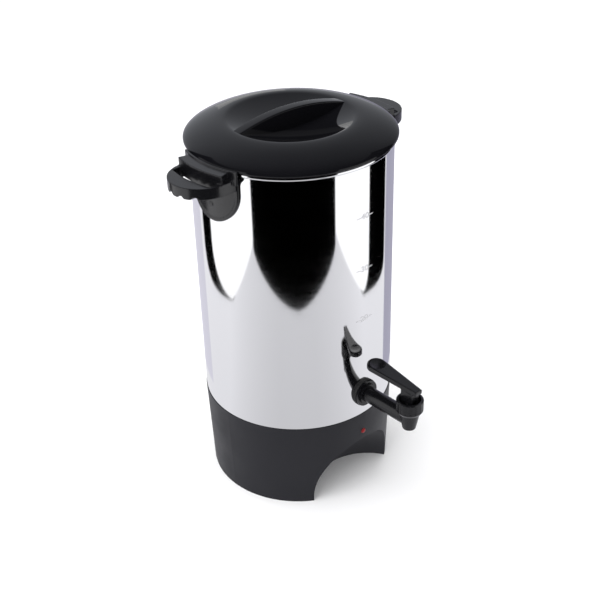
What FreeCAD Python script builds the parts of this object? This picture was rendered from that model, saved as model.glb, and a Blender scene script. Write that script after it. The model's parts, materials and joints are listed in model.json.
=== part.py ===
import FreeCAD, Part
import math
import os
import Sketcher
from FreeCAD import Placement, Rotation, Vector

# A ten litre percolating coffee urn with a lever tap.
# Frame: millimetres, +Z up, origin on the urn's own axis at the surface it stands on.
# The tap points along -Y, the two side handles lie on the X axis, the mains inlet faces +Y.

doc = FreeCAD.newDocument("coffee_urn")
sheet = doc.addObject("Spreadsheet::Sheet", "sizes")
parts = []
row_count = 0


class Size:
    """A length together with the formula by which the document works it out."""

    def __init__(self, value, text):
        self.value = float(value)
        self.text = text

    def __float__(self):
        return self.value

    def __add__(self, other):
        return Size(self.value + float(other), f"({self.text} + {text_of(other)})")

    def __radd__(self, other):
        return Size(float(other) + self.value, f"({text_of(other)} + {self.text})")

    def __sub__(self, other):
        return Size(self.value - float(other), f"({self.text} - {text_of(other)})")

    def __rsub__(self, other):
        return Size(float(other) - self.value, f"({text_of(other)} - {self.text})")

    def __mul__(self, other):
        return Size(self.value * float(other), f"({self.text} * {text_of(other)})")

    def __rmul__(self, other):
        return Size(float(other) * self.value, f"({text_of(other)} * {self.text})")

    def __truediv__(self, other):
        return Size(self.value / float(other), f"({self.text} / {text_of(other)})")

    def __neg__(self):
        return Size(-self.value, f"(-1 * {self.text})")


def text_of(number):
    return number.text if isinstance(number, Size) else f"({float(number):.9g})"


def root(number):
    return Size(math.sqrt(float(number)), f"sqrt({text_of(number)})")


def size(alias, value, note):
    """Write one driving dimension into the sheet and hand it back as a Size."""
    global row_count
    row_count += 1
    sheet.set(f"A{row_count}", note)
    sheet.set(f"B{row_count}", str(value))
    sheet.setAlias(f"B{row_count}", alias)
    return Size(value, f"sizes.{alias}")


# Driving dimensions: body and tank
body_radius = size("body_radius", 110.0, "outside radius of the steel body")
steel_wall = size("steel_wall", 1.0, "thickness of the steel body")
seam_height = size("seam_height", 109.4, "where the steel body meets the base")
bead_height = size("bead_height", 418.5, "centre of the rolled rim")
bead_round = size("bead_round", 2.5, "radius of the rolled rim")
floor_rise = size("floor_rise", 5.6, "tank floor above the seam")
floor_flange = size("floor_flange", 8.0, "height of the tank floor's turned up edge")
well_radius = size("well_radius", 34.0, "radius of the well in the tank floor")
well_depth = size("well_depth", 5.0, "depth of the well in the tank floor")
stud_inset = size("stud_inset", 18.0, "studs inside the steel body's radius")
stud_radius = size("stud_radius", 2.0, "radius of a stud")
stud_drop = size("stud_drop", 16.0, "length of a stud below the tank floor")

# Driving dimensions: base
base_draw = size("base_draw", 3.4, "how far the base narrows from the steel's radius to its foot")
base_proud = size("base_proud", 0.6, "how far the top of the base stands outside the steel")
base_wall = size("base_wall", 2.6, "wall of the base moulding")
deck_width = size("deck_width", 30.0, "width of the base's deck inside the steel body's radius")
lip_wall = size("lip_wall", 2.0, "wall of the lip that centres the tank")
scoop_radius = size("scoop_radius", 68.0, "radius of the hollow that makes room for a cup")
scoop_lead = size("scoop_lead", 13.4, "centre of the cup hollow in front of the base's foot")
scoop_rise = size("scoop_rise", 5.0, "centre of the cup hollow above the foot")
cover_height = size("cover_height", 4.0, "underside of the bottom cover")
cover_sheet = size("cover_sheet", 2.5, "thickness of the bottom cover")
post_inset = size("post_inset", 18.6, "screw posts inside the base's foot")
post_radius = size("post_radius", 4.5, "radius of a screw post")
pad_radius = size("pad_radius", 8.0, "radius of a rubber foot pad")
pad_inset = size("pad_inset", 34.6, "foot pads inside the base's foot")
screw_radius = size("screw_radius", 1.75, "radius of a small screw's shank")
screw_head = size("screw_head", 3.4, "radius of a small screw's head")
screw_head_rise = size("screw_head_rise", 2.0, "height of a small screw's head")
screw_length = size("screw_length", 10.0, "length of a cover screw's shank")

# Driving dimensions: lid
lid_overhang = size("lid_overhang", 4.65, "how far the lid's edge stands outside the steel body")
lid_lower_round = size("lid_lower_round", 4.0, "rounding of the lid's lower edge")
lid_wall = size("lid_wall", 3.0, "wall of the lid")
lid_shoulder = size("lid_shoulder", 42.65, "width of the lid's sloping shoulder")
lid_rise = size("lid_rise", 19.0, "crest of the lid above its seat")
crest_round = size("crest_round", 10.0, "rounding of the crest towards the hollow")
hollow_depth = size("hollow_depth", 11.4, "depth of the lid's hollow below the crest")
lid_skirt_wall = size("lid_skirt_wall", 2.0, "wall of the skirt that centres the lid")
lid_skirt_drop = size("lid_skirt_drop", 9.0, "depth of the skirt below the lid's seat")
grip_bar_rise = size("grip_bar_rise", 11.0, "top of the grip bar above the crest")
grip_bar_width = size("grip_bar_width", 13.0, "width of the grip bar")
grip_bar_inset = size("grip_bar_inset", 2.0, "ends of the grip bar inside the crest")
lid_turn = size("lid_turn", 6.0, "how far the lid stands turned from the side handles, in degrees")
liner_sheet = size("liner_sheet", 1.2, "thickness of the lid's liner")

# Driving dimensions: side handles
plate_half_width = size("plate_half_width", 37.0, "half width of a handle's back plate")
plate_drop = size("plate_drop", 56.0, "length of the back plate below the rim's underside")
plate_wall = size("plate_wall", 3.2, "thickness of the back plate")
plate_border = size("plate_border", 3.4, "width of the raised border of the back plate")
plate_recess = size("plate_recess", 1.0, "depth of the sunk face of the back plate")
ledge_width = size("ledge_width", 19.0, "how far a handle's ledge stands out from the steel body")
ledge_rise = size("ledge_rise", 4.0, "top of the ledge above the rim's centre")
ledge_drop = size("ledge_drop", 18.0, "height of the ledge block")
ledge_sweep = size("ledge_sweep", 31.0, "angle that the ledge spans, in degrees")
ledge_round = size("ledge_round", 5.0, "rounding under the ledge's outer edge")
strip_gap = size("strip_gap", 3.25, "outer face of the strip outside the lid's edge")
strip_rise = size("strip_rise", 5.9, "top of the strip above the rim's centre")
strip_wall = size("strip_wall", 2.7, "thickness of the strip")
strip_sweep = size("strip_sweep", 41.0, "angle that the strip spans, in degrees")
grip_lead = size("grip_lead", 11.4, "centre of the grip's round outline outside the steel body")
grip_radius = size("grip_radius", 35.6, "radius of the grip's outline")
grip_top = size("grip_top", 5.0, "top of the grip below the rim's centre")
grip_depth = size("grip_depth", 12.5, "height of the grip's wall")
slot_width = size("slot_width", 10.0, "width of the finger slot")
slot_half_width = size("slot_half_width", 29.5, "half width of the finger slot")
notch_pitch = size("notch_pitch", 14.5, "spacing of the notches under the grip")
notch_radius = size("notch_radius", 4.0, "radius of a notch under the grip")

# Driving dimensions: tap
tap_rise = size("tap_rise", 29.6, "height of the tap's shank above the seam")
tap_length = size("tap_length", 69.0, "spout in front of the steel body")
shank_radius = size("shank_radius", 9.2, "radius of the shank")
thread_radius = size("thread_radius", 7.9, "radius of the shank's threaded tail")
shank_bore = size("shank_bore", 4.4, "radius of the shank's bore")
tail_length = size("tail_length", 18.0, "length of the threaded tail behind the flange")
flange_radius = size("flange_radius", 15.5, "radius of the tap's flange")
flange_wall = size("flange_wall", 2.6, "thickness of the tap's flange")
shoulder_radius = size("shoulder_radius", 12.2, "radius of the shoulder in front of the flange")
gasket_radius = size("gasket_radius", 16.2, "radius of the gasket behind the flange")
gasket_wall = size("gasket_wall", 2.6, "thickness of the gasket where it is thinnest")
spout_drop = size("spout_drop", 12.7, "lower end of the spout below the shank's axis")
spout_radius = size("spout_radius", 7.6, "outside radius of the spout's lower end")
spout_bore = size("spout_bore", 5.0, "radius of the spout's bore")
cup_radius = size("cup_radius", 11.8, "outside radius of the valve cup at its top")
chamber_radius = size("chamber_radius", 8.2, "radius of the valve chamber")
seat_rise = size("seat_rise", 7.7, "valve seat above the spout's end")
chamber_depth = size("chamber_depth", 17.5, "depth of the valve chamber")
collar_radius = size("collar_radius", 15.0, "outside radius of the collar")
collar_rise = size("collar_rise", 13.5, "top of the collar above the chamber")
collar_floor = size("collar_floor", 3.5, "thickness of the collar's floor")
collar_wall = size("collar_wall", 2.7, "wall of the collar")
collar_lap = size("collar_lap", 3.0, "how far the collar laps over the cup")
stem_radius = size("stem_radius", 2.8, "radius of the valve stem")
pin_radius = size("pin_radius", 1.5, "radius of the pivot pin")
pin_rise = size("pin_rise", 6.3, "pivot pin above the collar's floor")
cup_rise = size("cup_rise", 5.0, "height of the silicone seat cup")
cup_lip = size("cup_lip", 7.2, "radius of the silicone seat cup")
wire_radius = size("wire_radius", 0.5, "radius of the closing spring's wire")
coil_radius = size("coil_radius", 5.6, "radius of the closing spring")
lever_tail = size("lever_tail", 50.0, "pivot pin to the centre of the paddle's round end")
lever_nose = size("lever_nose", 12.0, "pivot pin to the lever's front end")
lever_tail_radius = size("lever_tail_radius", 11.0, "radius of the paddle's round end")
lever_nose_half = size("lever_nose_half", 5.0, "half width of the lever's front end")
lever_rise = size("lever_rise", 20.9, "lever's upper face above the pivot pin")
lever_depth = size("lever_depth", 5.5, "thickness of the lever's paddle")
lever_tilt = size("lever_tilt", 5.4, "rise of the paddle towards the body, in degrees")
neck_half_width = size("neck_half_width", 5.5, "half width of the lever's neck")
neck_front = size("neck_front", 7.5, "neck's front face ahead of the pivot pin")
heel_back = size("heel_back", 6.5, "centre of the heel behind the pivot pin")
heel_rise = size("heel_rise", 1.2, "centre of the heel above the pivot pin")
lever_press = size("lever_press", 20.0, "angle by which the lever is pressed, in degrees")

# Driving dimensions: percolator set
basket_inset = size("basket_inset", 26.0, "coffee basket inside the steel body's radius")
basket_drop = size("basket_drop", 88.5, "underside of the coffee basket below the rim")
basket_depth = size("basket_depth", 70.0, "depth of the coffee basket")
basket_sheet = size("basket_sheet", 1.0, "thickness of the basket's sheet")
tube_radius = size("tube_radius", 6.5, "outside radius of the pump tube")
tube_wall = size("tube_wall", 1.5, "wall of the pump tube")
tube_stand = size("tube_stand", 11.0, "top of the pump tube above the basket")
foot_radius = size("foot_radius", 30.0, "radius of the pump foot")
foot_rise = size("foot_rise", 12.0, "height of the pump foot")
hole_radius = size("hole_radius", 1.6, "radius of a drain hole")

# Driving dimensions: heater, lamp and inlet
element_inset = size("element_inset", 13.0, "heating element's loop inside the spreader's edge")
element_radius = size("element_radius", 3.6, "radius of the heating element's tube")
spreader_sheet = size("spreader_sheet", 2.0, "thickness of the heat spreader")
spreader_width = size("spreader_width", 25.0, "width of the heat spreader")
lamp_drop = size("lamp_drop", 26.4, "pilot lamp below the seam")
lens_radius = size("lens_radius", 3.2, "radius of the pilot lamp's lens")
lamp_body_radius = size("lamp_body_radius", 5.0, "radius of the lamp behind the lens")
lamp_body_length = size("lamp_body_length", 16.0, "length of the lamp behind the skirt")
inlet_drop = size("inlet_drop", 63.4, "centre of the mains inlet below the seam")
inlet_half_width = size("inlet_half_width", 13.8, "half width of the inlet's body")
inlet_half_height = size("inlet_half_height", 10.2, "half height of the inlet's body")
inlet_inset = size("inlet_inset", 0.2, "front face of the inlet's flange inside the base's foot")
inlet_flange = size("inlet_flange", 2.4, "thickness of the inlet's flange")
inlet_margin = size("inlet_margin", 11.2, "how far the inlet's flange reaches past its body")
inlet_depth = size("inlet_depth", 26.0, "depth of the inlet's body")
pin_spacing = size("pin_spacing", 7.0, "outer pins of the inlet from its middle")
pin_wall = size("pin_wall", 2.0, "thickness of a pin")
pin_width = size("pin_width", 4.0, "width of a pin")
pin_tab = size("pin_tab", 5.2, "length of a pin behind the inlet's body")
brew_control_radius = size("brew_control_radius", 9.0, "radius of the brewing thermostat")
brew_control_depth = size("brew_control_depth", 5.0, "depth of the brewing thermostat")
cutout_radius = size("cutout_radius", 7.0, "radius of the thermal cut-out")
cutout_depth = size("cutout_depth", 4.0, "depth of the thermal cut-out")
control_gap = size("control_gap", 6.0, "gap between the two controls")
inlet_screw_lead = size("inlet_screw_lead", 6.2, "inlet's screws outside its body")

# Clearances
slip = size("slip", 0.3, "gap between pieces that move apart")
fit_gap = size("fit_gap", 0.2, "gap round pieces that are pushed together")
bearing_gap = size("bearing_gap", 0.06, "gap round a shaft that turns or slides")
doc.recompute()

# Places that several pieces share
base_foot_radius = body_radius - base_draw
stud_circle = body_radius - stud_inset
deck_bore = body_radius - deck_width
scoop_forward = base_foot_radius + scoop_lead
post_circle = base_foot_radius - post_inset
pad_circle = base_foot_radius - pad_inset
lid_radius = body_radius + lid_overhang
crest_radius = lid_radius - lid_shoulder
grip_bar_reach = crest_radius - grip_bar_inset
ledge_reach = body_radius + ledge_width
strip_reach = lid_radius + strip_gap
grip_centre = body_radius + grip_lead
slot_reach = ledge_reach + slot_width
tap_reach = body_radius + tap_length
tap_height = seam_height + tap_rise
spout_height = tap_height - spout_drop
basket_radius = body_radius - basket_inset
basket_height = bead_height - basket_drop
tube_top = basket_height + basket_depth + tube_stand
spreader_radius = well_radius + steel_wall + spreader_width
element_ring = spreader_radius - element_inset
lamp_height = seam_height - lamp_drop
inlet_face = base_foot_radius - inlet_inset
inlet_height = seam_height - inlet_drop
inlet_ear = inlet_half_width + inlet_margin
inlet_screws_apart = (inlet_half_width + inlet_screw_lead) * 2
inner_radius = body_radius - steel_wall
base_top_radius = body_radius + base_proud
tank_floor_under = seam_height + floor_rise - steel_wall
tank_floor_top = seam_height + floor_rise
bead_top = bead_height + bead_round
bead_inner_radius = body_radius - bead_round
lid_seat = bead_top + slip
crest_height = lid_seat + lid_rise
skirt_radius = bead_inner_radius - slip * 2
wall_slope = (base_top_radius - base_foot_radius) / seam_height
seat_height = spout_height + seat_rise
chamber_top = seat_height + chamber_depth
collar_top = chamber_top + collar_rise
cavity_floor = chamber_top + collar_floor
cavity_radius = collar_radius - collar_wall
pin_height = cavity_floor + pin_rise
flange_back = body_radius + gasket_wall
flange_front = flange_back + flange_wall
shoulder_front = flange_front + flange_wall
tail_end = flange_back - tail_length
FULL_TURN = 360.0
FORWARD = Rotation(Vector(1, 0, 0), 90)
OUTWARD_X = Rotation(Vector(0, 1, 0), 90)
MIRRORED = Rotation(Vector(0, 0, 1), 180)


def bind(thing, prop, number):
    """Set a property, and tie it to the sheet when it comes from there."""
    if isinstance(number, Size):
        thing.setExpression(prop, number.text)
    else:
        setattr(thing, prop, number)


def place(thing, x=0.0, y=0.0, z=0.0, rotation=Rotation()):
    thing.Placement = Placement(Vector(float(x), float(y), float(z)), rotation)
    for axis, number in (("x", x), ("y", y), ("z", z)):
        if isinstance(number, Size):
            thing.setExpression(f"Placement.Base.{axis}", number.text)
    return thing


def cylinder(radius, height, x=0.0, y=0.0, z=0.0, rotation=Rotation()):
    thing = doc.addObject("Part::Cylinder", "cylinder")
    bind(thing, "Radius", radius)
    bind(thing, "Height", height)
    return place(thing, x, y, z, rotation)


def cone(lower, upper, height, x=0.0, y=0.0, z=0.0, rotation=Rotation()):
    thing = doc.addObject("Part::Cone", "cone")
    bind(thing, "Radius1", lower)
    bind(thing, "Radius2", upper)
    bind(thing, "Height", height)
    return place(thing, x, y, z, rotation)


def block(length, width, height, x=0.0, y=0.0, z=0.0, rotation=Rotation()):
    """A box whose corner with the lowest coordinates is at x, y, z."""
    thing = doc.addObject("Part::Box", "block")
    bind(thing, "Length", length)
    bind(thing, "Width", width)
    bind(thing, "Height", height)
    return place(thing, x, y, z, rotation)


def ball(radius, x=0.0, y=0.0, z=0.0):
    thing = doc.addObject("Part::Sphere", "ball")
    bind(thing, "Radius", radius)
    return place(thing, x, y, z)


def cut(base, *tools):
    for tool in tools:
        thing = doc.addObject("Part::Cut", "cut")
        thing.Base = base
        thing.Tool = tool
        base = thing
    return base


def fuse(*pieces):
    thing = doc.addObject("Part::MultiFuse", "fuse")
    thing.Shapes = list(pieces)
    thing.Refine = True
    return thing


def common(*pieces):
    thing = doc.addObject("Part::MultiCommon", "common")
    thing.Shapes = list(pieces)
    return thing


def group(pieces):
    thing = doc.addObject("Part::Compound", "group")
    thing.Links = list(pieces)
    return thing


def ring(outer, inner, height, x=0.0, y=0.0, z=0.0, rotation=Rotation()):
    return cut(
        cylinder(outer, height, x, y, z, rotation), cylinder(inner, height, x, y, z, rotation)
    )


def keep(thing, label):
    """Name a finished sub-part."""
    thing.Label = label
    parts.append(thing)
    return thing


def arc_centre(start, end, radius, side):
    """The centre of the short arc from start to end that bends to the left or the right."""
    chord = end - start
    half = chord.Length / 2
    reach = math.sqrt(max(radius * radius - half * half, 0.0))
    left = Vector(-chord.y, chord.x, 0).normalize()
    return start + chord * 0.5 + left * (reach if side == "left" else -reach)


def outline(body, corners, plane, lift=0.0):
    """A closed sketch whose corners and radii are tied to the sheet.

    A corner is (x, y), or (x, y, side, radius) where an arc of that radius runs to the next one.
    """
    sketch = body.newObject("Sketcher::SketchObject", "outline")
    origin_plane = [o for o in body.Origin.OriginFeatures if o.Role == plane][0]
    sketch.AttachmentSupport = [(origin_plane, "")]
    sketch.MapMode = "FlatFace"
    if isinstance(lift, Size):
        sketch.setExpression("AttachmentOffset.Base.z", lift.text)
    else:
        sketch.AttachmentOffset = Placement(Vector(0, 0, lift), Rotation())
    spots = [Vector(float(c[0]), float(c[1]), 0) for c in corners]
    ends = []
    radii = []
    for index, corner in enumerate(corners):
        start, end = spots[index], spots[(index + 1) % len(spots)]
        if len(corner) == 2:
            geometry = sketch.addGeometry(Part.LineSegment(start, end), False)
            ends.append((geometry, 1, 2))
            continue
        side, radius = corner[2], corner[3]
        centre = arc_centre(start, end, float(radius), side)
        first, last = (start, end) if side == "left" else (end, start)
        from_angle = math.atan2(first.y - centre.y, first.x - centre.x)
        to_angle = math.atan2(last.y - centre.y, last.x - centre.x)
        if to_angle < from_angle:
            to_angle += 2 * math.pi
        circle = Part.Circle(centre, Vector(0, 0, 1), float(radius))
        geometry = sketch.addGeometry(Part.ArcOfCircle(circle, from_angle, to_angle), False)
        ends.append((geometry, 1, 2) if side == "left" else (geometry, 2, 1))
        radii.append((geometry, radius))
    for index, corner in enumerate(corners):
        geometry, start_point, _ = ends[index]
        before, _, end_point = ends[index - 1]
        sketch.addConstraint(
            Sketcher.Constraint("Coincident", before, end_point, geometry, start_point)
        )
        for kind, number, axis in (("DistanceX", corner[0], -2), ("DistanceY", corner[1], -1)):
            if isinstance(number, Size) or abs(float(number)) > 1e-9:
                rule = Sketcher.Constraint(kind, -1, 1, geometry, start_point, float(number))
            else:
                rule = Sketcher.Constraint("PointOnObject", geometry, start_point, axis)
            index_of_rule = sketch.addConstraint(rule)
            if isinstance(number, Size):
                sketch.setExpression(f"Constraints[{index_of_rule}]", number.text)
    for geometry, radius in radii:
        index_of_rule = sketch.addConstraint(
            Sketcher.Constraint("Radius", geometry, float(radius))
        )
        if isinstance(radius, Size):
            sketch.setExpression(f"Constraints[{index_of_rule}]", radius.text)
    return sketch


def turned(corners, sweep=FULL_TURN):
    """A body of revolution about Z; a corner's first number is its radius, the second its height."""
    body = doc.addObject("PartDesign::Body", "turned")
    sketch = outline(body, corners, "XZ_Plane")
    feature = body.newObject("PartDesign::Revolution", "revolution")
    feature.Profile = sketch
    feature.ReferenceAxis = (sketch, ["V_Axis"])
    bind(feature, "Angle", sweep)
    feature.Midplane = True
    body.Tip = feature
    return body


def raised(corners, height, plane="XY_Plane", lift=0.0, midplane=False, reverse=False):
    """A body made by raising an outline off an origin plane."""
    body = doc.addObject("PartDesign::Body", "raised")
    sketch = outline(body, corners, plane, lift)
    feature = body.newObject("PartDesign::Pad", "pad")
    feature.Profile = sketch
    bind(feature, "Length", height)
    feature.Midplane = midplane
    feature.Reversed = reverse
    body.Tip = feature
    return body


def around(count, first_angle, radius):
    """Places evenly spread on a circle, as sines and cosines that stay tied to the radius."""
    for step in range(count):
        angle = math.radians(first_angle + step * FULL_TURN / count)
        yield radius * math.cos(angle), radius * math.sin(angle)


def tank_shell():
    """Straight steel body with a rolled rim, and the holes for the tap and the handle screws."""
    wall = turned(
        [
            (inner_radius, seam_height),
            (body_radius, seam_height),
            (body_radius, bead_height),
            (inner_radius, bead_height),
        ]
    )
    bead = doc.addObject("Part::Torus", "bead")
    bind(bead, "Radius1", body_radius)
    bind(bead, "Radius2", bead_round)
    place(bead, z=bead_height)
    tap_hole = cylinder(
        thread_radius + fit_gap, body_radius, y=-(body_radius / 2), z=tap_height, rotation=FORWARD
    )
    holes = [
        cylinder(
            screw_radius + fit_gap,
            body_radius * 3,
            x=-(body_radius * 1.5),
            z=height,
            rotation=OUTWARD_X,
        )
        for height in handle_screw_heights
    ]
    return keep(cut(fuse(wall, bead), tap_hole, *holes), "tank_shell")


def tank_floor():
    """Pressed steel floor with a turned up edge, a well for the pump foot and three studs."""
    pressed = turned(
        [
            (0, tank_floor_under - well_depth),
            (well_radius + steel_wall, tank_floor_under - well_depth),
            (well_radius + steel_wall, tank_floor_under),
            (inner_radius, tank_floor_under),
            (inner_radius, tank_floor_top + floor_flange),
            (inner_radius - steel_wall, tank_floor_top + floor_flange),
            (inner_radius - steel_wall, tank_floor_top),
            (well_radius, tank_floor_top),
            (well_radius, tank_floor_top - well_depth),
            (0, tank_floor_top - well_depth),
        ]
    )
    studs = [
        cylinder(stud_radius, stud_drop, x=x, y=y, z=tank_floor_under - stud_drop)
        for x, y in around(3, 90, stud_circle)
    ]
    return keep(fuse(pressed, *studs), "tank_floor")


def base_nuts():
    """Hexagon nuts that hold the base to the tank's studs."""
    nuts = []
    for x, y in around(3, 90, stud_circle):
        nut = doc.addObject("Part::Prism", "nut")
        nut.Polygon = 6
        bind(nut, "Circumradius", stud_radius * 2)
        bind(nut, "Height", stud_radius * 1.6)
        place(nut, x, y, seam_height - base_wall - stud_radius * 1.6)
        nuts.append(cut(nut, cylinder(stud_radius, stud_drop, x, y, seam_height - stud_drop)))
    return keep(group(nuts), "base_nuts")


POST_ANGLES = (30.0, 150.0, 202.0, 338.0)


def on_circle(radius, angle):
    turn = math.radians(angle)
    return radius * math.cos(turn), radius * math.sin(turn)


def base_housing():
    """Black base: a tapered skirt, a deck that carries the tank and a hollow for the cup."""
    deck_under = seam_height - base_wall
    lip_radius = inner_radius - fit_gap
    skirt = turned(
        [
            (base_foot_radius - base_wall, 0),
            (base_foot_radius, 0),
            (base_top_radius, seam_height),
            (lip_radius, seam_height),
            (lip_radius, tank_floor_under),
            (lip_radius - lip_wall, tank_floor_under),
            (lip_radius - lip_wall, seam_height),
            (deck_bore, seam_height),
            (deck_bore, deck_under),
            (base_foot_radius - base_wall + wall_slope * deck_under, deck_under),
        ]
    )
    scoop = ball(scoop_radius, y=-scoop_forward, z=scoop_rise)
    scoop_back = ball(scoop_radius + base_wall, y=-scoop_forward, z=scoop_rise)
    scoop_wall = cut(common(scoop_back, skirt_filling()), scoop)
    posts = []
    pilots = []
    for angle in POST_ANGLES:
        x, y = on_circle(post_circle, angle)
        foot = cover_height + cover_sheet
        posts.append(cylinder(post_radius, deck_under - foot + base_wall / 2, x, y, foot))
        pilots.append(cylinder(screw_radius, screw_length + fit_gap, x, y, foot))
    stud_holes = [
        cylinder(stud_radius + fit_gap, base_wall * 2, x, y, deck_under - base_wall / 2)
        for x, y in around(3, 90, stud_circle)
    ]
    inlet_back = inlet_face - inlet_flange
    frame_back = inlet_back - base_wall
    inlet_frame = common(
        block(
            inlet_ear * 2 + base_wall * 2,
            base_foot_radius,
            inlet_half_height * 2 + base_wall * 4,
            x=-(inlet_ear + base_wall),
            y=frame_back,
            z=inlet_height - inlet_half_height - base_wall * 2,
        ),
        skirt_filling(),
    )
    inlet_pocket = block(
        inlet_ear * 2 + fit_gap * 2,
        base_foot_radius,
        inlet_half_height * 2 + base_wall * 2,
        x=-(inlet_ear + fit_gap),
        y=inlet_back,
        z=inlet_height - inlet_half_height - base_wall,
    )
    inlet_window = block(
        inlet_half_width * 2 + fit_gap * 2,
        base_foot_radius,
        inlet_half_height * 2 + fit_gap * 2,
        x=-(inlet_half_width + fit_gap),
        y=frame_back - base_wall,
        z=inlet_height - inlet_half_height - fit_gap,
    )
    inlet_pilots = [
        cylinder(
            screw_radius,
            inlet_depth,
            x=side * inlet_screws_apart / 2,
            y=inlet_face,
            z=inlet_height,
            rotation=FORWARD,
        )
        for side in (-1, 1)
    ]
    lamp_hole = cylinder(
        lens_radius + fit_gap,
        base_foot_radius / 2,
        y=-(base_foot_radius * 0.75),
        z=lamp_height,
        rotation=FORWARD,
    )
    moulding = fuse(cut(skirt, scoop), scoop_wall, inlet_frame, *posts)
    holes = [inlet_pocket, inlet_window, lamp_hole] + pilots + stud_holes + inlet_pilots
    return keep(cut(moulding, *holes), "base_housing")


def skirt_filling():
    """The solid that fills the base's skirt, for trimming what is moulded inside it."""
    return cone(
        base_foot_radius - base_wall / 2,
        base_top_radius - base_wall / 2,
        seam_height - base_wall / 2,
    )


def bottom_cover():
    """Flat cover under the base, cut away round the cup hollow, with screw holes and vents."""
    cover = cylinder(base_foot_radius - base_wall - fit_gap * 2, cover_sheet, z=cover_height)
    scoop = ball(scoop_radius + base_wall + fit_gap * 2, y=-scoop_forward, z=scoop_rise)
    holes = []
    for angle in POST_ANGLES:
        x, y = on_circle(post_circle, angle)
        holes.append(cylinder(screw_radius + fit_gap, cover_sheet * 3, x, y, cover_height - cover_sheet))
    vent_length = pad_circle * 0.5
    for step in range(-2, 3):
        holes.append(
            block(
                vent_length,
                screw_head,
                cover_sheet * 3,
                x=-(vent_length / 2),
                y=post_circle * 0.2 + screw_head * 2.2 * step,
                z=cover_height - cover_sheet,
            )
        )
    return keep(cut(cover, scoop, *holes), "bottom_cover")


def foot_pads():
    """Soft pads under the cover, level with the foot of the skirt."""
    pads = [
        cylinder(pad_radius, cover_height, *on_circle(pad_circle, angle))
        for angle in (20.0, 160.0, 205.0, 335.0)
    ]
    return keep(group(pads), "foot_pads")


def round_screw(x, y, z, length, rotation=Rotation()):
    """A pan-head screw whose head lies under x, y, z and whose shank runs on from there."""
    head = cylinder(screw_head, screw_head_rise, x, y, z, rotation)
    back = rotation.multVec(Vector(0, 0, 1))
    shank = cylinder(
        screw_radius,
        length,
        x + screw_head_rise * back.x,
        y + screw_head_rise * back.y,
        z + screw_head_rise * back.z,
        rotation,
    )
    return fuse(head, shank)


def cover_screws():
    screws = []
    for angle in POST_ANGLES:
        x, y = on_circle(post_circle, angle)
        screws.append(round_screw(x, y, cover_height - screw_head_rise, cover_sheet + screw_length))
    return keep(group(screws), "cover_screws")


def lid_places():
    """Radii and meeting points of the arcs that make the lid's section."""
    across = lid_radius - crest_radius - lid_lower_round
    up = crest_height - lid_seat - lid_lower_round
    reach = (across * across + up * up) / (up * 2)
    dome_radius = lid_lower_round + reach
    dome_low = crest_height - dome_radius
    meet_radius = crest_radius + dome_radius * across / reach
    meet_height = dome_low + dome_radius * (reach - up) / reach
    span = (crest_radius * crest_radius + hollow_depth * hollow_depth) / (hollow_depth * 2)
    bowl_radius = span - crest_round
    bowl_centre = crest_height - hollow_depth + bowl_radius
    turn_radius = crest_radius * bowl_radius / span
    turn_height = bowl_centre - bowl_radius * (span - hollow_depth) / span
    inner_turn_radius = crest_radius * (bowl_radius + lid_wall) / span
    inner_turn_height = bowl_centre - (bowl_radius + lid_wall) * (span - hollow_depth) / span
    skirt_inner = skirt_radius - lid_skirt_wall
    run = skirt_inner - crest_radius
    inner_dome = dome_radius - lid_wall
    inner_height = dome_low + root(inner_dome * inner_dome - run * run)
    return {
        "dome_radius": dome_radius,
        "meet": (meet_radius, meet_height),
        "bowl_radius": bowl_radius,
        "bowl_centre": bowl_centre,
        "turn": (turn_radius, turn_height),
        "inner_turn": (inner_turn_radius, inner_turn_height),
        "skirt_inner": skirt_inner,
        "inner_dome": inner_dome,
        "inner_height": inner_height,
    }


LINER_SCREW_CIRCLE = 0.8


def lid_shell():
    """Domed lid with a round hollow, a grip bar across it and a skirt that enters the rim."""
    p = lid_places()
    hollow_floor = crest_height - hollow_depth
    shell = turned(
        [
            (skirt_radius, lid_seat),
            (lid_radius, lid_seat, "left", lid_lower_round),
            (p["meet"][0], p["meet"][1], "left", p["dome_radius"]),
            (crest_radius, crest_height, "left", crest_round),
            (p["turn"][0], p["turn"][1], "right", p["bowl_radius"]),
            (0, hollow_floor),
            (0, hollow_floor - lid_wall, "left", p["bowl_radius"] + lid_wall),
            (p["inner_turn"][0], p["inner_turn"][1], "right", crest_round - lid_wall),
            (crest_radius, crest_height - lid_wall, "right", p["inner_dome"]),
            (p["skirt_inner"], p["inner_height"]),
            (p["skirt_inner"], lid_seat - lid_skirt_drop),
            (skirt_radius, lid_seat - lid_skirt_drop),
        ]
    )
    low_arc = p["bowl_radius"] + lid_wall / 2
    end_low = p["bowl_centre"] - root(low_arc * low_arc - grip_bar_reach * grip_bar_reach)
    bar_arc = (grip_bar_reach * grip_bar_reach + grip_bar_rise * grip_bar_rise) / (grip_bar_rise * 2)
    bar = raised(
        [
            (-grip_bar_reach, end_low, "left", low_arc),
            (grip_bar_reach, end_low),
            (grip_bar_reach, crest_height, "left", bar_arc),
            (-grip_bar_reach, crest_height),
        ],
        grip_bar_width,
        plane="XZ_Plane",
        midplane=True,
    )
    bosses = []
    pilots = []
    liner_top = lid_seat + liner_sheet
    for x, y in around(3, 90, crest_radius * LINER_SCREW_CIRCLE):
        bosses.append(cylinder(screw_head, hollow_depth, x, y, liner_top))
        pilots.append(cylinder(screw_radius, screw_length / 2, x, y, liner_top))
    under_bowl = ball(p["bowl_radius"] + lid_wall / 2, z=p["bowl_centre"])
    bosses = [cut(boss, under_bowl) for boss in bosses]
    lid = cut(fuse(shell, bar, *bosses), *pilots)
    return keep(turn_lid(lid), "lid_shell")


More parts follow.
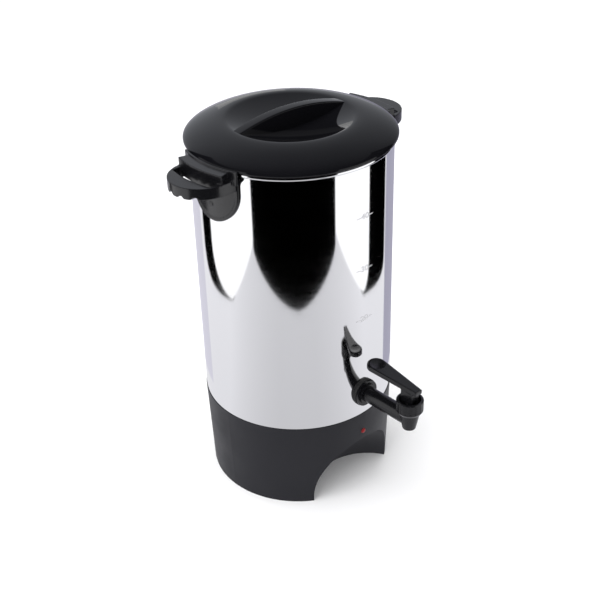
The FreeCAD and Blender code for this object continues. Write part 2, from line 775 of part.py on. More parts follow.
def turn_lid(thing):
    """Turn a lid piece about the urn's axis to where it stands."""
    thing.setExpression("Placement.Rotation.Angle", f"-1 * {lid_turn.text}")
    thing.Placement = Placement(Vector(), Rotation(Vector(0, 0, 1), -float(lid_turn)))
    return thing


def lid_liner():
    """Flat liner that closes the lid's underside, with three screw holes."""
    p = lid_places()
    liner = cylinder(p["skirt_inner"] - fit_gap, liner_sheet, z=lid_seat)
    holes = [
        cylinder(screw_radius + fit_gap, liner_sheet * 3, x, y, lid_seat - liner_sheet)
        for x, y in around(3, 90, crest_radius * LINER_SCREW_CIRCLE)
    ]
    return keep(turn_lid(cut(liner, *holes)), "lid_liner")


def liner_screws():
    screws = [
        round_screw(x, y, lid_seat - screw_head_rise, liner_sheet + screw_length / 2)
        for x, y in around(3, 90, crest_radius * LINER_SCREW_CIRCLE)
    ]
    return keep(turn_lid(group(screws)), "liner_screws")


rim_under = bead_height - bead_round
plate_top = rim_under - slip * 4
plate_foot = rim_under - plate_drop - slip * 4
handle_screw_heights = (plate_foot + plate_half_width * 0.5, plate_foot + plate_half_width * 1.25)


def plate_outline(inset):
    """A handle's back plate seen from its side: straight above and half round below."""
    half = plate_half_width - inset
    centre = plate_foot + plate_half_width
    return [
        (-half, centre, "left", half),
        (0, centre - half, "left", half),
        (half, centre),
        (half, plate_top - inset),
        (-half, plate_top - inset),
    ]


def side_handle(label, rotation):
    """One side handle: back plate, ledge beside the rim, and a grip with a finger slot."""
    plate_outer = body_radius + plate_wall
    reach = grip_centre
    plate = common(
        raised(plate_outline(0), reach, plane="YZ_Plane"),
        ring(plate_outer, body_radius, plate_top, z=0),
    )
    sunk = common(
        raised(plate_outline(plate_border), reach, plane="YZ_Plane"),
        ring(plate_outer * 1.1, plate_outer - plate_recess, ledge_top - ledge_drop - plate_border),
    )
    ledge = turned(
        [
            (body_radius, ledge_top - ledge_drop),
            (ledge_reach - ledge_round, ledge_top - ledge_drop, "left", ledge_round),
            (ledge_reach, ledge_top - ledge_drop + ledge_round),
            (ledge_reach, ledge_top),
            (strip_reach + fit_gap * 2, ledge_top),
            (strip_reach + fit_gap * 2, plate_top),
            (body_radius, plate_top),
        ],
        sweep=ledge_sweep,
    )
    strip = turned(
        [
            (body_radius, plate_top - ledge_round),
            (strip_reach + fit_gap * 2, plate_top - ledge_round),
            (strip_reach + fit_gap * 2, plate_top),
            (strip_reach, plate_top),
            (strip_reach, bead_height + strip_rise),
            (strip_reach - strip_wall, bead_height + strip_rise),
            (strip_reach - strip_wall, plate_top),
            (body_radius, plate_top),
        ],
        sweep=strip_sweep,
    )
    grip_low = bead_height - grip_top - grip_depth
    disc = cylinder(grip_radius, grip_depth, x=grip_centre, z=grip_low)
    arms = block(
        grip_centre - body_radius + plate_wall,
        grip_radius * 2,
        grip_depth,
        x=body_radius - plate_wall,
        y=-grip_radius,
        z=grip_low,
    )
    slot = common(
        ring(slot_reach, ledge_reach, grip_depth * 3, z=grip_low - grip_depth),
        block(
            slot_reach,
            slot_half_width * 2,
            grip_depth * 3,
            y=-slot_half_width,
            z=grip_low - grip_depth,
        ),
    )
    hollow = common(
        ring(ledge_reach * 1.001, plate_outer + plate_wall, grip_depth * 2, z=ledge_top - ledge_drop - grip_depth * 2),
        block(
            slot_reach,
            slot_half_width * 2,
            grip_depth * 3,
            y=-slot_half_width,
            z=ledge_top - ledge_drop - grip_depth * 3,
        ),
    )
    inside = cylinder(body_radius, plate_top * 2)
    notches = [
        cylinder(
            notch_radius,
            grip_radius,
            x=slot_reach,
            y=notch_pitch * step,
            z=grip_low - notch_radius * 0.3,
            rotation=OUTWARD_X,
        )
        for step in (-1.5, -0.5, 0.5, 1.5)
    ]
    grip = cut(fuse(disc, arms), slot, hollow, inside, *notches)
    pilots = [
        cylinder(screw_radius, plate_wall * 2, x=body_radius - plate_wall, z=height, rotation=OUTWARD_X)
        for height in handle_screw_heights
    ]
    handle = cut(fuse(cut(plate, sunk), ledge, strip, grip), *pilots)
    place(handle, rotation=rotation)
    return keep(handle, label)


ledge_top = bead_height + ledge_rise


def handle_screws():
    """Screws that hold the handles, put in from inside the tank."""
    screws = []
    for side in (-1, 1):
        rotation = Rotation(Vector(0, 1, 0), 90 * side)
        for height in handle_screw_heights:
            start = (inner_radius - screw_head_rise - fit_gap) * side
            length = steel_wall + plate_wall * 0.7
            screws.append(round_screw(start, 0.0, height, length, rotation))
    inside = cylinder(inner_radius, plate_top * 2)
    heads = [common(screw, inside) for screw in screws]
    shanks = []
    for side in (-1, 1):
        rotation = Rotation(Vector(0, 1, 0), 90 * side)
        for height in handle_screw_heights:
            start = (inner_radius - screw_head_rise) * side
            length = screw_head_rise + steel_wall + plate_wall * 0.6
            shanks.append(cylinder(screw_radius, length, x=start, z=height, rotation=rotation))
    pairs = [fuse(head, shank) for head, shank in zip(heads, shanks)]
    return keep(group(pairs), "handle_screws")


def along_tap(radius, start, end):
    """A round bar on the shank's axis, from one distance in front of the urn's axis to another."""
    return cylinder(radius, end - start, y=-start, z=tap_height, rotation=FORWARD)


def tap_body():
    """One moulding: threaded tail, flange, shank, valve cup and spout."""
    cup = turned(
        [
            (0, spout_height),
            (spout_radius - collar_lap / 2, spout_height, "left", collar_lap / 2),
            (spout_radius, spout_height + collar_lap / 2),
            (cup_radius, chamber_top - collar_lap),
            (cup_radius, chamber_top),
            (0, chamber_top),
        ]
    )
    place(cup, y=-tap_reach)
    tail = along_tap(thread_radius, tail_end, flange_front)
    flange = along_tap(flange_radius, flange_back, flange_front)
    shoulder = along_tap(shoulder_radius, flange_front, shoulder_front)
    shank = along_tap(shank_radius, flange_front, tap_reach)
    bore = along_tap(shank_bore, tail_end - fit_gap, tap_reach)
    chamber = cylinder(chamber_radius, chamber_depth * 2, y=-tap_reach, z=seat_height)
    spout = cylinder(spout_bore, seat_rise * 2, y=-tap_reach, z=spout_height - seat_rise)
    above = cylinder(cup_radius * 2, shank_radius * 2, y=-tap_reach, z=chamber_top)
    solid = fuse(cup, tail, flange, shoulder, shank)
    return keep(cut(solid, above, chamber, spout, bore), "tap_body")


def tap_gasket():
    """Soft gasket between the steel body and the flange; its back follows the body."""
    disc = cut(
        along_tap(gasket_radius, body_radius * 0.9, flange_back),
        along_tap(thread_radius + fit_gap, body_radius * 0.8, flange_front),
    )
    return keep(cut(disc, cylinder(body_radius, seam_height + tap_height)), "tap_gasket")


def tap_washer():
    """Washer inside the tank, rounded to the wall."""
    disc = cut(
        along_tap(flange_radius, inner_radius - gasket_wall * 1.6, body_radius),
        along_tap(thread_radius + fit_gap, body_radius * 0.8, flange_front),
    )
    return keep(common(disc, cylinder(inner_radius, seam_height + tap_height)), "tap_washer")


def tap_nut():
    """Hexagon nut that pulls the tap to the wall from inside."""
    nut = doc.addObject("Part::Prism", "nut")
    nut.Polygon = 6
    bind(nut, "Circumradius", flange_radius * 0.9)
    depth = thread_radius * 0.75
    bind(nut, "Height", depth)
    place(nut, 0, -(inner_radius - gasket_wall * 1.6 - depth), tap_height, FORWARD)
    thread = along_tap(thread_radius, tail_end - fit_gap, flange_front)
    return keep(cut(nut, thread), "tap_nut")


def tap_collar():
    """Screw-on collar over the valve cup: an open cup above, a lap over the chamber below."""
    lower = chamber_top - collar_lap
    collar = turned(
        [
            (cup_radius + bearing_gap, lower),
            (cup_radius + collar_wall / 2, lower),
            (collar_radius, lower + collar_lap),
            (collar_radius, collar_top - collar_wall / 3),
            (collar_radius - collar_wall / 3, collar_top),
            (cavity_radius, collar_top),
            (cavity_radius, cavity_floor),
            (stem_radius + fit_gap, cavity_floor),
            (stem_radius + fit_gap, chamber_top),
            (cup_radius + bearing_gap, chamber_top),
        ]
    )
    place(collar, y=-tap_reach)
    flutes = []
    for x, y in around(16, 0, collar_radius + collar_wall / 6):
        flutes.append(cylinder(collar_wall / 3, collar_rise, x, y - tap_reach, lower + collar_lap * 1.5))
    return keep(cut(collar, group(flutes)), "tap_collar")


cup_under = seat_height + bearing_gap
cup_top = cup_under + cup_rise
spring_low = cup_top + collar_lap / 2


def tap_stem():
    """Valve stem: a disc under the spring and an eye for the pivot pin."""
    body = turned(
        [
            (0, cup_under + cup_rise / 2),
            (stem_radius, cup_under + cup_rise / 2),
            (stem_radius, cup_top),
            (cup_lip - bearing_gap * 4, cup_top),
            (cup_lip - bearing_gap * 4, spring_low),
            (stem_radius, spring_low),
            (stem_radius, pin_height + stem_radius),
            (0, pin_height + stem_radius),
        ]
    )
    place(body, y=-tap_reach)
    eye = cylinder(
        pin_radius, stem_radius * 4, x=-(stem_radius * 2), y=-tap_reach, z=pin_height, rotation=OUTWARD_X
    )
    return keep(cut(body, eye), "tap_stem")


def tap_seat_cup():
    """Silicone cup that closes the spout, pushed onto the lower end of the stem."""
    body = turned(
        [
            (cup_lip - collar_wall / 2, cup_under),
            (cup_lip, cup_under),
            (cup_lip, cup_top),
            (stem_radius, cup_top),
            (stem_radius, cup_under + cup_rise / 2),
            (0, cup_under + cup_rise / 2),
            (0, cup_under + cup_rise / 4),
        ]
    )
    return keep(place(body, y=-tap_reach), "tap_seat_cup")


def tap_pin():
    """Pivot pin through the lever's cheeks and the stem's eye."""
    length = neck_half_width * 2
    pin = cylinder(
        pin_radius, length, x=-neck_half_width, y=-tap_reach, z=pin_height, rotation=OUTWARD_X
    )
    return keep(pin, "tap_pin")


SPRING_TURNS = 5


def tap_spring():
    """Closing spring round the stem, made of half turns that meet in line."""
    low = float(spring_low + wire_radius)
    high = float(chamber_top - wire_radius)
    radius = float(coil_radius)
    centre = Vector(0, -float(tap_reach), 0)
    half_turns = SPRING_TURNS * 2

    def spot(turn):
        angle = 2 * math.pi * turn
        height = low + (high - low) * turn / SPRING_TURNS
        return centre + Vector(radius * math.cos(angle), radius * math.sin(angle), height)

    edges = []
    for step in range(half_turns):
        start, middle, end = (spot((step + part) / 2) for part in (0.0, 0.5, 1.0))
        edges.append(Part.Arc(start, middle, end).toShape())
    path = Part.Wire(edges)
    section = Part.Wire(
        Part.Circle(spot(0), Vector(0, 1, 0), float(wire_radius)).toShape()
    )
    thing = doc.addObject("Part::Feature", "spring")
    thing.Shape = path.makePipeShell([section], True, False)
    thing.Placement = Placement()
    return keep(thing, "tap_spring")


def tap_lever():
    """Paddle lever: a neck forked over the stem with a rounded heel, and a dished paddle.

    Pressing the paddle rocks the lever about the heel's centre, which lifts the pin and the stem.
    """
    heel_radius = heel_rise + pin_rise - slip
    press = math.radians(float(lever_press) + 2)
    back = heel_back + heel_radius * math.sin(press)
    heel_end = heel_rise - heel_radius * math.cos(press)
    top = lever_rise - lever_depth / 2
    neck = raised(
        [
            (-neck_front, -pin_rise + slip),
            (heel_back, -pin_rise + slip, "left", heel_radius),
            (back, heel_end),
            (back, top),
            (-neck_front, top),
        ],
        neck_half_width * 2,
        plane="YZ_Plane",
        midplane=True,
    )
    place(neck, y=-tap_reach, z=pin_height)
    run = lever_tail + lever_nose
    far = root(lever_nose_half * lever_nose_half + run * run)
    lean = lever_tail_radius / far
    hold = root(1 - lean * lean)
    edge = lever_tail_radius * (lean * lever_nose_half + hold * run) / far
    edge_back = lever_tail + lever_tail_radius * (hold * lever_nose_half - lean * run) / far
    paddle = raised(
        [
            (-lever_nose_half, -lever_nose),
            (lever_nose_half, -lever_nose),
            (edge, edge_back, "left", lever_tail_radius),
            (0, lever_tail + lever_tail_radius, "left", lever_tail_radius),
            (-edge, edge_back),
        ],
        lever_depth,
    )
    pad = paddle.Tip
    doc.recompute()
    rounded = paddle.newObject("PartDesign::Fillet", "rounding")
    top_edges = [
        f"Edge{index + 1}"
        for index, edge_shape in enumerate(pad.Shape.Edges)
        if abs(edge_shape.BoundBox.ZMin - float(lever_depth)) < 1e-6
    ]
    rounded.Base = (pad, top_edges)
    bind(rounded, "Radius", lever_depth * 0.3)
    paddle.Tip = rounded
    dish_radius = lever_tail_radius * 2.6
    dish = ball(dish_radius, y=lever_tail - lever_tail_radius * 0.1, z=lever_depth + dish_radius - 1.3)
    dished = cut(paddle, dish)
    dished.Placement = Placement(
        Vector(0, -float(tap_reach), float(pin_height + lever_rise - lever_depth)),
        Rotation(Vector(1, 0, 0), float(lever_tilt)),
    )
    dished.setExpression("Placement.Base.y", (-tap_reach).text)
    dished.setExpression("Placement.Base.z", (pin_height + lever_rise - lever_depth).text)
    fork = block(
        (stem_radius + fit_gap) * 2,
        (lever_tail_radius + collar_radius) * 2,
        pin_rise + stem_radius + slip * 4,
        x=-(stem_radius + fit_gap),
        y=-tap_reach - lever_tail_radius - collar_radius,
        z=cavity_floor,
    )
    pin_hole = cylinder(
        pin_radius + bearing_gap,
        collar_radius * 2,
        x=-collar_radius,
        y=-tap_reach,
        z=pin_height,
        rotation=OUTWARD_X,
    )
    return keep(cut(fuse(neck, dished), fork, pin_hole), "tap_lever")


def drain_holes(radii, counts, height, depth):
    holes = []
    for radius, count in zip(radii, counts):
        for x, y in around(count, 0, radius):
            holes.append(cylinder(hole_radius, depth, x, y, height))
    return group(holes)


tube_bore = tube_radius - tube_wall
sleeve_radius = tube_radius + fit_gap * 2


def coffee_basket():
    """Basket for the ground coffee, with a sleeve round the pump tube and a drilled floor."""
    top = basket_height + basket_depth
    body = turned(
        [
            (sleeve_radius, basket_height),
            (basket_radius - basket_sheet * 2, basket_height),
            (basket_radius - basket_sheet, top),
            (basket_radius - basket_sheet * 2, top),
            (basket_radius - basket_sheet * 3, basket_height + basket_sheet),
            (sleeve_radius + basket_sheet, basket_height + basket_sheet),
            (sleeve_radius + basket_sheet, top - basket_sheet * 2),
            (sleeve_radius, top - basket_sheet * 2),
        ]
    )
    radii = [basket_radius * share for share in (0.25, 0.48, 0.71)]
    holes = drain_holes(radii, (6, 12, 18), basket_height - basket_sheet, basket_sheet * 3)
    return keep(cut(body, holes), "coffee_basket")


def water_spreader():
    """Drilled lid of the coffee basket, dished so that the water runs over it."""
    top = basket_height + basket_depth
    body = turned(
        [
            (sleeve_radius, top),
            (basket_radius, top),
            (basket_radius, top + basket_sheet * 3),
            (basket_radius - basket_sheet, top + basket_sheet * 3),
            (basket_radius - basket_sheet, top + basket_sheet),
            (sleeve_radius, top + basket_sheet),
        ]
    )
    radii = [basket_radius * share for share in (0.3, 0.55, 0.8)]
    holes = drain_holes(radii, (8, 14, 20), top - basket_sheet, basket_sheet * 3)
    return keep(cut(body, holes), "water_spreader")


well_floor = tank_floor_top - well_depth


def pump_tube():
    """Tube that carries hot water up to the spreader, with a stop under the basket."""
    low = well_floor + foot_rise
    body = turned(
        [
            (tube_bore, low),
            (tube_radius, low),
            (tube_radius, basket_height - basket_sheet * 2),
            (tube_radius * 1.8, basket_height - basket_sheet * 2),
            (tube_radius * 1.8, basket_height),
            (tube_radius, basket_height),
            (tube_radius, tube_top),
            (tube_bore, tube_top),
        ]
    )
    return keep(body, "pump_tube")


def pump_foot():
    """Bell under the pump tube that stands in the well, with notches that let water in."""
    rim = basket_sheet * 2
    body = turned(
        [
            (foot_radius - basket_sheet, well_floor),
            (foot_radius, well_floor),
            (foot_radius, well_floor + rim),
            (tube_radius + basket_sheet, well_floor + foot_rise - rim),
            (tube_radius + basket_sheet, well_floor + foot_rise),
            (tube_bore, well_floor + foot_rise),
            (tube_bore, well_floor + foot_rise - rim),
            (foot_radius - basket_sheet, well_floor + rim),
        ]
    )
    notches = [
        cylinder(hole_radius, foot_radius * 2, x=-foot_radius, z=well_floor, rotation=OUTWARD_X),
        cylinder(hole_radius, foot_radius * 2, y=foot_radius, z=well_floor, rotation=FORWARD),
    ]
    return keep(cut(body, *notches), "pump_foot")


def heat_spreader():
    """Aluminium ring pressed against the tank floor round the well."""
    return keep(
        ring(
            spreader_radius,
            well_radius + steel_wall + fit_gap,
            spreader_sheet,
            z=tank_floor_under - spreader_sheet,
        ),
        "heat_spreader",
    )


ELEMENT_GAP = 30.0


def heating_element():
    """Tubular element: an open loop under the spreader with its two ends turned down."""
    height = tank_floor_under - spreader_sheet - element_radius
    loop = doc.addObject("Part::Torus", "loop")
    bind(loop, "Radius1", element_ring)
    bind(loop, "Radius2", element_radius)
    loop.Angle3 = FULL_TURN - ELEMENT_GAP * 2
    place(loop, z=height, rotation=Rotation(Vector(0, 0, 1), 90 + ELEMENT_GAP))
    ends = []
    drop = element_radius * 4
    for angle in (90 + ELEMENT_GAP, 90 - ELEMENT_GAP):
        x, y = on_circle(element_ring, angle)
        ends.append(cylinder(element_radius, drop, x, y, height - drop))
        ends.append(ball(element_radius, x, y, height))
        ends.append(cylinder(element_radius / 3, drop * 1.5, x, y, height - drop * 1.5))
    return keep(fuse(loop, *ends), "heating_element")


well_under = tank_floor_under - well_depth


def round_control(label, x, y, radius, depth):
    """A disc thermostat clipped under the well, with its two blade terminals."""
    case = cylinder(radius, depth, x, y, well_under - depth)
    cap = cylinder(radius * 0.7, depth * 1.5, x, y, well_under - depth * 1.5)
    blades = [
        block(
            radius * 0.35,
            depth * 0.15,
            depth * 0.9,
            x=x + radius * 0.3 * side - radius * 0.175,
            y=y,
            z=well_under - depth * 2.3,
        )
        for side in (-1, 1)
    ]
    return keep(fuse(case, cap, *blades), label)


def terminal_block():
    """Ceramic block under the deck where the mains leads meet the element's leads."""
    length = stud_circle * 0.34
    depth = element_radius * 3.2
    start = seam_height - base_wall - depth
    body = block(
        length, depth, depth, x=-(length * 1.6), y=deck_bore + base_wall / 2, z=start
    )
    wells = [
        cylinder(
            screw_radius,
            depth / 2,
            x=-(length * 1.6) + length * (step + 0.5) / 3,
            y=deck_bore + base_wall / 2 + depth / 2,
            z=start,
        )
        for step in range(3)
    ]
    return keep(cut(body, *wells), "terminal_block")


lamp_wall_radius = base_foot_radius + wall_slope * lamp_height


def pilot_lens():
    """Red lens: a round stem through the skirt with a domed end."""
    dome_centre = lamp_wall_radius - lens_radius * 0.5
    stem = cylinder(
        lens_radius, base_wall * 1.5, y=-(lamp_wall_radius - base_wall * 1.5), z=lamp_height, rotation=FORWARD
    )
    dome = common(
        ball(lens_radius * 1.15, y=-dome_centre, z=lamp_height),
        cylinder(lens_radius, lens_radius * 3, y=-(lamp_wall_radius - base_wall), z=lamp_height, rotation=FORWARD),
    )
    return keep(fuse(stem, dome), "pilot_lens")


def pilot_lamp():
    """Lamp holder behind the lens, clipped against the inside of the skirt."""
    face = lamp_wall_radius - base_wall * 1.5
    holder = cylinder(
        lamp_body_radius, lamp_body_length, y=-(face - lamp_body_length), z=lamp_height, rotation=FORWARD
    )
    trim = cone(base_foot_radius - base_wall, base_top_radius - base_wall, seam_height)
    legs = [
        cylinder(
            screw_radius / 3,
            lamp_body_length / 2,
            x=lamp_body_radius * 0.4 * side,
            y=-(face - lamp_body_length * 1.4),
            z=lamp_height,
            rotation=FORWARD,
        )
        for side in (-1, 1)
    ]
    return keep(fuse(common(holder, trim), *legs), "pilot_lamp")


def power_inlet():
    """Three-pin mains inlet: flange, body and the socket that the connector enters."""
    back = inlet_face - inlet_flange
    flange = block(
        inlet_ear * 2,
        inlet_flange,
        inlet_half_height * 2 + base_wall * 2 - fit_gap * 2,
        x=-inlet_ear,
        y=back,
        z=inlet_height - inlet_half_height - base_wall + fit_gap,
    )
    body = block(
        inlet_half_width * 2,
        inlet_depth,
        inlet_half_height * 2,
        x=-inlet_half_width,
        y=inlet_face - inlet_depth,
        z=inlet_height - inlet_half_height,
    )
    wall = base_wall * 0.6
    socket = raised(
        [
            (-(inlet_half_width - wall), -(inlet_half_height - wall)),
            (inlet_half_width - wall, -(inlet_half_height - wall)),
            (inlet_half_width - wall, inlet_half_height * 0.45),
            (inlet_half_width * 0.6, inlet_half_height - wall),
            (-(inlet_half_width * 0.6), inlet_half_height - wall),
            (-(inlet_half_width - wall), inlet_half_height * 0.45),
        ],
        inlet_depth,
        plane="XZ_Plane",
    )
    place(socket, y=inlet_face + inlet_depth * 0.35, z=inlet_height)
    screw_holes = [
        cylinder(
            screw_radius + fit_gap,
            inlet_flange * 4,
            x=inlet_screws_apart / 2 * side,
            y=inlet_face + inlet_flange,
            z=inlet_height,
            rotation=FORWARD,
        )
        for side in (-1, 1)
    ]
    pin_holes = [pin_blade(side, level) for side, level in PIN_PLACES]
    return keep(cut(fuse(flange, body), socket, *screw_holes, *pin_holes), "power_inlet")


PIN_PLACES = ((-1, -1), (1, -1), (0, 1))


def pin_blade(side, level):
    """One flat pin of the inlet, from its tab behind the body to its tip in the socket."""
    return block(
        pin_wall,
        inlet_depth,
        pin_width,
        x=pin_spacing * side - pin_wall / 2,
        y=inlet_face - inlet_depth - pin_tab,
        z=inlet_height + pin_wall * level - pin_width / 2,
    )


def inlet_pins():
    return keep(group([pin_blade(side, level) for side, level in PIN_PLACES]), "inlet_pins")


def inlet_screws():
    back_y = Rotation(Vector(1, 0, 0), 90)
    screws = []
    for side in (-1, 1):
        screws.append(
            round_screw(
                inlet_screws_apart / 2 * side,
                inlet_face + screw_head_rise,
                inlet_height,
                inlet_flange + base_wall,
                back_y,
            )
        )
    return keep(group(screws), "inlet_screws")


def build():
    tank_shell()
    tank_floor()
    base_nuts()
    base_housing()
    bottom_cover()
    foot_pads()
    cover_screws()
    lid_shell()
    lid_liner()
    liner_screws()
    side_handle("handle_right", Rotation())
    side_handle("handle_left", MIRRORED)
    handle_screws()
    tap_body()
    tap_gasket()
    tap_washer()
    tap_nut()
    tap_collar()
    tap_stem()
    tap_seat_cup()
    tap_pin()
    tap_spring()
    tap_lever()
    coffee_basket()
    water_spreader()
    pump_tube()
    pump_foot()
    heat_spreader()
    heating_element()
    round_control("brew_thermostat", 0.0, 0.0, brew_control_radius, brew_control_depth)
    cutout_x = brew_control_radius + control_gap + cutout_radius
    round_control("thermal_cutout", cutout_x, 0.0, cutout_radius, cutout_depth)
    terminal_block()
    pilot_lens()
    pilot_lamp()
    power_inlet()
    inlet_pins()
    inlet_screws()


def check_and_write():
    doc.recompute()
    for thing in doc.Objects:
        if "Invalid" in thing.State or "Error" in thing.State:
            raise RuntimeError(f"{thing.Name} ({thing.Label}) failed: {thing.State}")
    os.makedirs("parts", exist_ok=True)
    for part in parts:
        shape = part.Shape
        if shape.isNull() or not shape.isValid() or not shape.Solids:
            raise RuntimeError(f"{part.Label} has no valid solid")
    for part in parts:
        part.Shape.exportStep(f"parts/{part.Label}.step")
        print(f"{part.Label}: {len(part.Shape.Solids)} solid, {part.Shape.Volume / 1000:.2f} cm3")


build()
check_and_write()
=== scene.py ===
import json
import math

import bmesh
import bpy
from mathutils import Matrix, Vector

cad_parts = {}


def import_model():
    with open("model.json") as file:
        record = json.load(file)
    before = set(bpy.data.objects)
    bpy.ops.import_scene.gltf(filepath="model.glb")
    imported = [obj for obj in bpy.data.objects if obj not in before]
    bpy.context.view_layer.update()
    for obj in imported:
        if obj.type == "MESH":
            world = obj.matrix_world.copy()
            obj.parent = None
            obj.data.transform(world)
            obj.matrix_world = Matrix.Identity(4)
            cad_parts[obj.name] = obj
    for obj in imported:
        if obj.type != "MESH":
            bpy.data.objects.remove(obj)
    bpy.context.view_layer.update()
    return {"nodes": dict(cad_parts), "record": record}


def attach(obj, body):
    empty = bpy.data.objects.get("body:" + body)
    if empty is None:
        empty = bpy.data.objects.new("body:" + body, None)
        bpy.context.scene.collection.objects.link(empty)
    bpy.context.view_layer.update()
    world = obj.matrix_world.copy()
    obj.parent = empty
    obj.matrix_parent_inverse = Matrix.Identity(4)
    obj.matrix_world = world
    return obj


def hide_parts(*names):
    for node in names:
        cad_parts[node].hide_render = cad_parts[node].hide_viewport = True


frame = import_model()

TURN = 2 * math.pi
STEPS_ROUND = 288

# Sizes of the urn, in metres
BODY_RADIUS = 0.110
STEEL = 0.0010
SEAM = 0.1094
BEAD_HEIGHT = 0.4185
BEAD = 0.0025
LID_EDGE = 0.11465
LID_GAP = 0.0003
LID_SEAT = BEAD_HEIGHT + BEAD + LID_GAP
CREST_RADIUS = 0.072
CREST_HEIGHT = 0.4403
CREST_ROUND = 0.016
HOLLOW_FLOOR = 0.4289
GRIP_RISE = 0.0110
GRIP_WIDTH = 0.0130
GRIP_REACH = 0.0695
GRIP_ROUND = 0.0016
GRIP_STEPS = 72
LID_TURN = math.radians(-6.0)
LEVEL_MARKS = ((0.361, "40"), (0.299, "30"), (0.237, "20"))
MARK_HEIGHT = 0.0068
MARK_LIFT = 0.00006
MARK_STRETCH = 1.25
TEXT_PER_MARK = 1.35
MARK_WEIGHT = 0.03
SCREW_HEIGHTS = (0.3773, 0.4050)
PLUG_RADIUS = 0.0023
PLUG_DEPTH = 0.0026
PLUG_MIDDLE = 0.1118

# The photograph's frame, 600 pixels each way, and the camera that took it
IMAGE_SIDE = 600
FOCAL_PIXELS = 1096.745
SENSOR = 36.0
CAMERA_TARGET = Vector((0.0, 0.0, 0.220))
CAMERA_DISTANCE = 1.2679
CAMERA_AZIMUTH = math.radians(-42.0)
CAMERA_ELEVATION = math.radians(31.181)
CAMERA_ROLL = math.radians(1.713)
TARGET_PIXEL = (295.79, 294.59)


# Helpers for meshes
def mesh_object(name, bm, angle=30.0):
    """Turn a bmesh into an object with smooth faces and sharp edges beyond an angle."""
    mesh = bpy.data.meshes.new(name)
    bmesh.ops.recalc_face_normals(bm, faces=bm.faces)
    bm.to_mesh(mesh)
    bm.free()
    mesh.shade_smooth()
    mesh.set_sharp_from_angle(angle=math.radians(angle))
    obj = bpy.data.objects.new(name, mesh)
    bpy.context.scene.collection.objects.link(obj)
    return obj


def lathe(name, outline, steps=STEPS_ROUND, angle=30.0):
    """Turn a closed outline of (radius, height) points about the Z axis."""
    bm = bmesh.new()
    rings = []
    for radius, height in outline:
        if radius < 1e-7:
            rings.append([bm.verts.new((0, 0, height))])
            continue
        rings.append(
            [
                bm.verts.new(
                    (radius * math.cos(TURN * i / steps), radius * math.sin(TURN * i / steps), height)
                )
                for i in range(steps)
            ]
        )
    for here, there in zip(rings, rings[1:] + rings[:1]):
        if len(here) == 1 and len(there) == 1:
            continue
        for i in range(steps):
            j = (i + 1) % steps
            corners = [here[i % len(here)], here[j % len(here)]]
            corners += [there[j % len(there)], there[i % len(there)]]
            face = [v for k, v in enumerate(corners) if v not in corners[:k]]
            bm.faces.new(face)
    return mesh_object(name, bm, angle)


def arc(centre, radius, start, end, steps):
    """Points of an arc in (radius, height), angles in degrees."""
    points = []
    for i in range(steps + 1):
        turn = math.radians(start + (end - start) * i / steps)
        points.append((centre[0] + radius * math.cos(turn), centre[1] + radius * math.sin(turn)))
    return points


def bezier(a, b, c, d, steps):
    points = []
    for i in range(steps + 1):
        u = i / steps
        w = (1 - u) ** 3, 3 * u * (1 - u) ** 2, 3 * u * u * (1 - u), u ** 3
        points.append(
            (
                w[0] * a[0] + w[1] * b[0] + w[2] * c[0] + w[3] * d[0],
                w[0] * a[1] + w[1] * b[1] + w[2] * c[1] + w[3] * d[1],
            )
        )
    return points


def apply_modifiers(obj, angle=30.0):
    graph = bpy.context.evaluated_depsgraph_get()
    mesh = bpy.data.meshes.new_from_object(obj.evaluated_get(graph))
    obj.modifiers.clear()
    obj.data = mesh
    mesh.shade_smooth()
    mesh.set_sharp_from_angle(angle=math.radians(angle))


# Materials
def shader(name, color, metallic=0.0, roughness=0.4, specular=0.5):
    material = bpy.data.materials.new(name)
    material.use_nodes = True
    principled = material.node_tree.nodes["Principled BSDF"]
    principled.inputs["Base Color"].default_value = (*color, 1.0)
    principled.inputs["Metallic"].default_value = metallic
    principled.inputs["Roughness"].default_value = roughness
    principled.inputs["Specular IOR Level"].default_value = specular
    return material, material.node_tree, principled


def noise(tree, scale, detail=4.0, stretch=(1.0, 1.0, 1.0)):
    """A noise pattern in object space, stretched along the axes."""
    place = tree.nodes.new("ShaderNodeTexCoord")
    mapping = tree.nodes.new("ShaderNodeMapping")
    mapping.inputs["Scale"].default_value = stretch
    pattern = tree.nodes.new("ShaderNodeTexNoise")
    pattern.inputs["Scale"].default_value = scale
    pattern.inputs["Detail"].default_value = detail
    tree.links.new(place.outputs["Object"], mapping.inputs["Vector"])
    tree.links.new(mapping.outputs["Vector"], pattern.inputs["Vector"])
    return pattern.outputs["Fac"]


def spread(tree, value, low, high):
    """Map a 0 to 1 value to a narrow range."""
    node = tree.nodes.new("ShaderNodeMapRange")
    node.inputs["From Min"].default_value = 0.3
    node.inputs["From Max"].default_value = 0.7
    node.inputs["To Min"].default_value = low
    node.inputs["To Max"].default_value = high
    tree.links.new(value, node.inputs["Value"])
    return node.outputs["Result"]


def bump(tree, principled, height, strength, distance):
    node = tree.nodes.new("ShaderNodeBump")
    node.inputs["Strength"].default_value = strength
    node.inputs["Distance"].default_value = distance
    tree.links.new(height, node.inputs["Height"])
    tree.links.new(node.outputs["Normal"], principled.inputs["Normal"])


def tint(tree, principled, value, dark, light):
    node = tree.nodes.new("ShaderNodeMix")
    node.data_type = "RGBA"
    node.inputs["A"].default_value = (*dark, 1.0)
    node.inputs["B"].default_value = (*light, 1.0)
    tree.links.new(value, node.inputs["Factor"])
    tree.links.new(node.outputs["Result"], principled.inputs["Base Color"])


